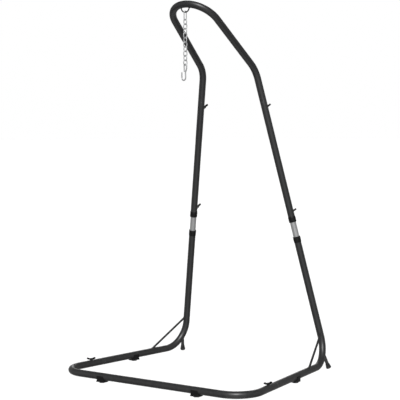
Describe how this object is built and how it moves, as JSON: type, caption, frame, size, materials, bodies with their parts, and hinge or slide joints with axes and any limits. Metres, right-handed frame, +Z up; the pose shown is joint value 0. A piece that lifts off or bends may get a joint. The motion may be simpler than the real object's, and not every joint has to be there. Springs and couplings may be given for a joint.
{
  "type": "hammock chair stand",
  "caption": "Height-adjustable tubular steel stand with a trapezoid base, an overhanging arch, and a chain with an S-hook to hang a hammock chair from.",
  "frame": {"origin": "on the floor, under the middle of the stand's bounding box", "axes": "+Z up, -Y towards the front that the arch leans out over, +X across the stand, to the right seen from behind the camera's side (the mirror plane is X = 0)"},
  "size_m": [1.2194, 1.0334, 2.0142],
  "materials": {
    "powder_coat": "satin",
    "zinc": "zinc plated",
    "black_plastic": "matte",
    "black_rubber": "matte"
  },
  "bodies": {
    "base": {"base_front_tube": "powder_coat", "base_rivet_nuts": "zinc", "front_left_glide": "black_rubber", "front_left_saddle": "black_plastic", "front_right_glide": "black_rubber", "front_right_saddle": "black_plastic"},
    "upper_frame": {"top_arch_tube": "powder_coat", "left_middle_tube": "powder_coat", "right_middle_tube": "powder_coat", "left_upper_collar": "black_plastic", "right_upper_collar": "black_plastic", "upper_weld_nuts": "powder_coat", "hanger_loop": "powder_coat"},
    "left_leg": {"left_leg_tube": "powder_coat", "left_brace": "powder_coat", "left_rear_stub": "powder_coat", "left_rear_foot": "black_rubber", "left_rail_saddle": "black_plastic", "left_rail_glide": "black_rubber", "left_lower_collar": "black_plastic", "left_inner_tube": "zinc"},
    "left_base_bolt": {"left_base_wing_bolt": "black_plastic"},
    "left_lock_bolt": {"left_lock_wing_bolt": "black_plastic"},
    "left_arch_bolt": {"left_arch_wing_bolt": "black_plastic"},
    "right_leg": {"right_leg_tube": "powder_coat", "right_brace": "powder_coat", "right_rear_stub": "powder_coat", "right_rear_foot": "black_rubber", "right_rail_saddle": "black_plastic", "right_rail_glide": "black_rubber", "right_lower_collar": "black_plastic", "right_inner_tube": "zinc"},
    "right_base_bolt": {"right_base_wing_bolt": "black_plastic"},
    "right_lock_bolt": {"right_lock_wing_bolt": "black_plastic"},
    "right_arch_bolt": {"right_arch_wing_bolt": "black_plastic"},
    "link_0": {"chain_link_0": "zinc"},
    "link_1": {"chain_link_1": "zinc"},
    "link_2": {"chain_link_2": "zinc"},
    "link_3": {"chain_link_3": "zinc"},
    "link_4": {"chain_link_4": "zinc"},
    "link_5": {"chain_link_5": "zinc"},
    "link_6": {"chain_link_6": "zinc"},
    "link_7": {"chain_link_7": "zinc"},
    "link_8": {"chain_link_8": "zinc"},
    "link_9": {"chain_link_9": "zinc"},
    "link_10": {"chain_link_10": "zinc"},
    "hook": {"s_hook": "zinc"}
  },
  "joints": [
    {"name": "height_adjust", "type": "slide", "parent": "base", "child": "upper_frame", "axis": [0, -0.0722, 0.9974], "range_m": [-0.05, 0.05]},
    {"name": "leg_spread_left", "type": "hinge", "parent": "base", "child": "left_leg", "pos_m": [-0.57987, -0.25783, 0.033], "axis": [0, 0, 1], "range_deg": [-1, 1]},
    {"name": "leg_spread_right", "type": "hinge", "parent": "base", "child": "right_leg", "pos_m": [0.57987, -0.25783, 0.033], "axis": [0, 0, 1], "range_deg": [-1, 1]},
    {"name": "left_base_bolt_turn", "type": "hinge", "parent": "base", "child": "left_base_bolt", "pos_m": [-0.57987, -0.25783, 0.033], "axis": [0, 0, 1], "continuous": true},
    {"name": "left_lock_bolt_turn", "type": "hinge", "parent": "upper_frame", "child": "left_lock_bolt", "pos_m": [-0.32592, 0.3782, 0.8745], "axis": [0.1422, 0.9821, 0.1236], "continuous": true},
    {"name": "left_arch_bolt_turn", "type": "hinge", "parent": "upper_frame", "child": "left_arch_bolt", "pos_m": [-0.21366, 0.28924, 1.45201], "axis": [0.1422, 0.9821, 0.1236], "continuous": true},
    {"name": "right_base_bolt_turn", "type": "hinge", "parent": "base", "child": "right_base_bolt", "pos_m": [0.57987, -0.25783, 0.033], "axis": [0, 0, 1], "continuous": true},
    {"name": "right_lock_bolt_turn", "type": "hinge", "parent": "upper_frame", "child": "right_lock_bolt", "pos_m": [0.32592, 0.3782, 0.8745], "axis": [-0.1422, 0.9821, 0.1236], "continuous": true},
    {"name": "right_arch_bolt_turn", "type": "hinge", "parent": "upper_frame", "child": "right_arch_bolt", "pos_m": [0.21366, 0.28924, 1.45201], "axis": [-0.1422, 0.9821, 0.1236], "continuous": true},
    {"name": "chain_swing_0", "type": "hinge", "parent": "upper_frame", "child": "link_0", "pos_m": [0, -0.15803, 1.95238], "axis": [1, 0, 0], "range_deg": [-30, 30]},
    {"name": "chain_swing_1", "type": "hinge", "parent": "link_0", "child": "link_1", "pos_m": [0, -0.15803, 1.91108], "axis": [0.247, 0.969, 0], "range_deg": [-20, 20]},
    {"name": "chain_swing_2", "type": "hinge", "parent": "link_1", "child": "link_2", "pos_m": [0, -0.15803, 1.88738], "axis": [0.969, -0.247, 0], "range_deg": [-20, 20]},
    {"name": "chain_swing_3", "type": "hinge", "parent": "link_2", "child": "link_3", "pos_m": [0, -0.15803, 1.86368], "axis": [0.247, 0.969, 0], "range_deg": [-20, 20]},
    {"name": "chain_swing_4", "type": "hinge", "parent": "link_3", "child": "link_4", "pos_m": [0, -0.15803, 1.83998], "axis": [0.969, -0.247, 0], "range_deg": [-20, 20]},
    {"name": "chain_swing_5", "type": "hinge", "parent": "link_4", "child": "link_5", "pos_m": [0, -0.15803, 1.81628], "axis": [0.247, 0.969, 0], "range_deg": [-20, 20]},
    {"name": "chain_swing_6", "type": "hinge", "parent": "link_5", "child": "link_6", "pos_m": [0, -0.15803, 1.79258], "axis": [0.969, -0.247, 0], "range_deg": [-20, 20]},
    {"name": "chain_swing_7", "type": "hinge", "parent": "link_6", "child": "link_7", "pos_m": [0, -0.15803, 1.76888], "axis": [0.247, 0.969, 0], "range_deg": [-20, 20]},
    {"name": "chain_swing_8", "type": "hinge", "parent": "link_7", "child": "link_8", "pos_m": [0, -0.15803, 1.74518], "axis": [0.969, -0.247, 0], "range_deg": [-20, 20]},
    {"name": "chain_swing_9", "type": "hinge", "parent": "link_8", "child": "link_9", "pos_m": [0, -0.15803, 1.72148], "axis": [0.247, 0.969, 0], "range_deg": [-20, 20]},
    {"name": "chain_swing_10", "type": "hinge", "parent": "link_9", "child": "link_10", "pos_m": [0, -0.15803, 1.69778], "axis": [0.969, -0.247, 0], "range_deg": [-20, 20]},
    {"name": "hook_swing", "type": "hinge", "parent": "link_10", "child": "hook", "pos_m": [0, -0.15803, 1.67408], "axis": [0.247, 0.969, 0], "range_deg": [-30, 30]}
  ],
  "couplings": [
    {"joint": "leg_spread_right", "follows": "height_adjust", "rad_per_m": -0.3067},
    {"joint": "leg_spread_left", "follows": "height_adjust", "rad_per_m": 0.3067}
  ]
}
